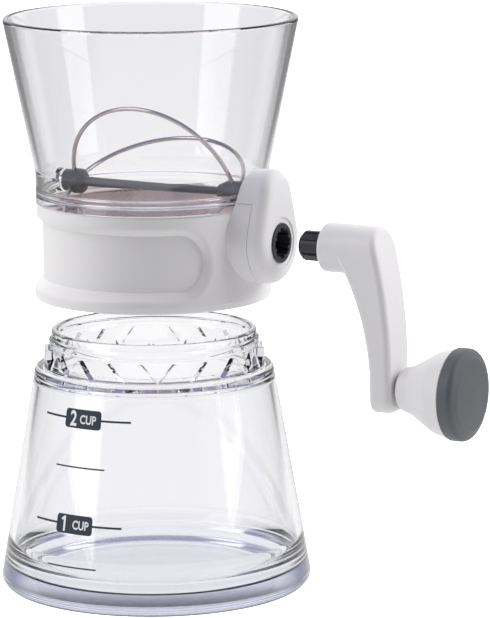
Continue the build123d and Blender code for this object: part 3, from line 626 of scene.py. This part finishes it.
# Dark parts of the crank's coupling: a splined stub on the arm and the splined socket that it
# slides into, both moulded in acetal, which is slippery enough to run dry.
dark_acetal = moulded("dark_acetal", (0.035, 0.035, 0.038, 1), 0.33, 2200.0, 0.2)
for node in ("drive_socket", "crank_spline"):
    dress(node, dark_acetal)

# Natural acetal of what the gear case hides: two moulded gears, the washer that takes the drive's
# thrust, and the bush that the agitator's spindle turns in.
gear_acetal = moulded("gear_acetal", (0.72, 0.72, 0.70, 1), 0.45, 1500.0, 0.2)
for node in ("agitator_gear", "drive_gear", "drive_washer", "shaft_bush"):
    dress(node, gear_acetal)

# Silicone of the two seals: the flat gasket held between hopper and ring, and the ring round the
# spindle that keeps flour out of the gear case.
silicone = moulded("silicone", (0.70, 0.72, 0.75, 1), 0.5, 1500.0, 0.2)
for node in ("hopper_gasket", "shaft_seal"):
    dress(node, silicone)

# Soft cap of the knob: grey elastomer with a fine matt grain that gives the palm a hold, moulded
# on its own and plugged into the wide end of the cone.
soft_grey = moulded("soft_grey", (0.105, 0.112, 0.120, 1), 0.46, 2400.0, 0.35)
dress("knob_cap", soft_grey)

# Stainless steel of the four bows, bent from drawn wire and polished, and of the fasteners: the
# case's screws, the gear's clip, the knob's post and its washer, all turned or stamped.
POLISH_BRIGHTEST = -0.05
POLISH_DULLEST = 0.07


def steel(name, colour, roughness, metallic=1.0):
    """Metal with a drawn, slightly uneven polish."""
    material = bpy.data.materials.new(name)
    material.use_nodes = True
    tree = material.node_tree
    shader = tree.nodes["Principled BSDF"]
    shader.inputs["Base Color"].default_value = colour
    shader.inputs["Metallic"].default_value = metallic
    where = tree.nodes.new("ShaderNodeTexCoord")
    polish = tree.nodes.new("ShaderNodeTexNoise")
    polish.inputs["Scale"].default_value = 900.0
    tree.links.new(where.outputs["Object"], polish.inputs["Vector"])
    gloss = tree.nodes.new("ShaderNodeMapRange")
    gloss.inputs["To Min"].default_value = roughness + POLISH_BRIGHTEST
    gloss.inputs["To Max"].default_value = roughness + POLISH_DULLEST
    tree.links.new(polish.outputs["Fac"], gloss.inputs["Value"])
    tree.links.new(gloss.outputs["Result"], shader.inputs["Roughness"])
    return material


wire_steel = steel("wire_steel", (0.56, 0.52, 0.50, 1), 0.12)
for node in ("bow_1", "bow_2", "bow_3", "bow_4"):
    dress(node, wire_steel)
turned_steel = steel("turned_steel", (0.6, 0.6, 0.6, 1), 0.25)
for node in ("gear_case_screws", "agitator_clip", "knob_post", "knob_washer"):
    dress(node, turned_steel)

# Screen: plain-woven steel cloth drawn into a round bowl, each wire over one and under the next,
# with its edge pressed flat into a band that the hopper clamps down.
CLOTH_R = 35.9
CLOTH_EDGE_Z = 143.9
CLOTH_REACH = CLOTH_R * acos((AGITATOR_Z - CLOTH_EDGE_Z) / CLOTH_R)
WEAVE_PITCH = 1.2
WEAVE_TURN = radians(22.0)
WEAVE_CRIMP = 0.13
WEAVE_WIRE = 0.26
SWAP_X_AND_Y = Matrix(((0, 1, 0, 0), (1, 0, 0, 0), (0, 0, 1, 0), (0, 0, 0, 1)))
BAND_INNER_R = 35.2
BAND_FOOT_Z = 143.7
BAND_TOP_Z = 144.15
BAND_WELD = 0.0001
cloth = bmesh.new()
wires_each_side = int(CLOTH_REACH / WEAVE_PITCH)
for family in (0, 1):
    for row in range(-wires_each_side, wires_each_side + 1):
        across = row * WEAVE_PITCH
        half_steps = int(sqrt(CLOTH_REACH ** 2 - across ** 2) / (WEAVE_PITCH / 2))
        strip = bmesh.ops.create_grid(cloth, x_segments=2 * half_steps, y_segments=1, size=0.5)["verts"]
        bmesh.ops.scale(cloth, vec=(half_steps * WEAVE_PITCH, WEAVE_WIRE, 1), verts=strip)
        for spot in strip:
            crimp = WEAVE_CRIMP * cos(pi * (spot.co.x / WEAVE_PITCH + row))
            spot.co.z = -crimp if family else crimp
        bmesh.ops.translate(cloth, vec=(0, across, 0), verts=strip)
        if family:
            bmesh.ops.transform(cloth, matrix=SWAP_X_AND_Y, verts=strip)
bmesh.ops.recalc_face_normals(cloth, faces=cloth.faces[:])
bmesh.ops.solidify(cloth, geom=cloth.faces[:], thickness=WEAVE_WIRE)
bmesh.ops.rotate(cloth, cent=(0, 0, 0), matrix=Matrix.Rotation(WEAVE_TURN, 3, "Z"), verts=cloth.verts)
for spot in cloth.verts:
    bowl_angle = spot.co.xy.length / CLOTH_R
    depth = CLOTH_R - spot.co.z
    outward = spot.co.xy.normalized() * depth * sin(bowl_angle)
    spot.co = Vector((outward.x, outward.y, AGITATOR_Z - depth * cos(bowl_angle))) * MM
band = bmesh.new()
band_corners = [band.verts.new((x * MM, 0, z * MM)) for x, z in (
    (BAND_INNER_R, BAND_FOOT_Z), (COLLAR_BORE_R, BAND_FOOT_Z),
    (COLLAR_BORE_R, BAND_TOP_Z), (BAND_INNER_R, BAND_TOP_Z))]
band_loop = band.faces.new(band_corners)
bmesh.ops.spin(band, geom=band_loop.edges[:] + band_loop.verts[:], axis=(0, 0, 1), cent=(0, 0, 0), steps=180,
               angle=2 * pi, use_merge=True)
bmesh.ops.delete(band, geom=[band_loop], context="FACES_ONLY")
bmesh.ops.remove_doubles(band, verts=band.verts[:], dist=BAND_WELD * MM)
bmesh.ops.recalc_face_normals(band, faces=band.faces[:])
woven_steel = steel("woven_steel", (0.84, 0.71, 0.65, 1), 0.45, metallic=0.5)
as_piece(cloth, "woven_screen", woven_steel, "mill_head", "steel_mesh", "screen_mesh")
as_piece(band, "screen_band", woven_steel, "mill_head", "steel_mesh", "screen_mesh")
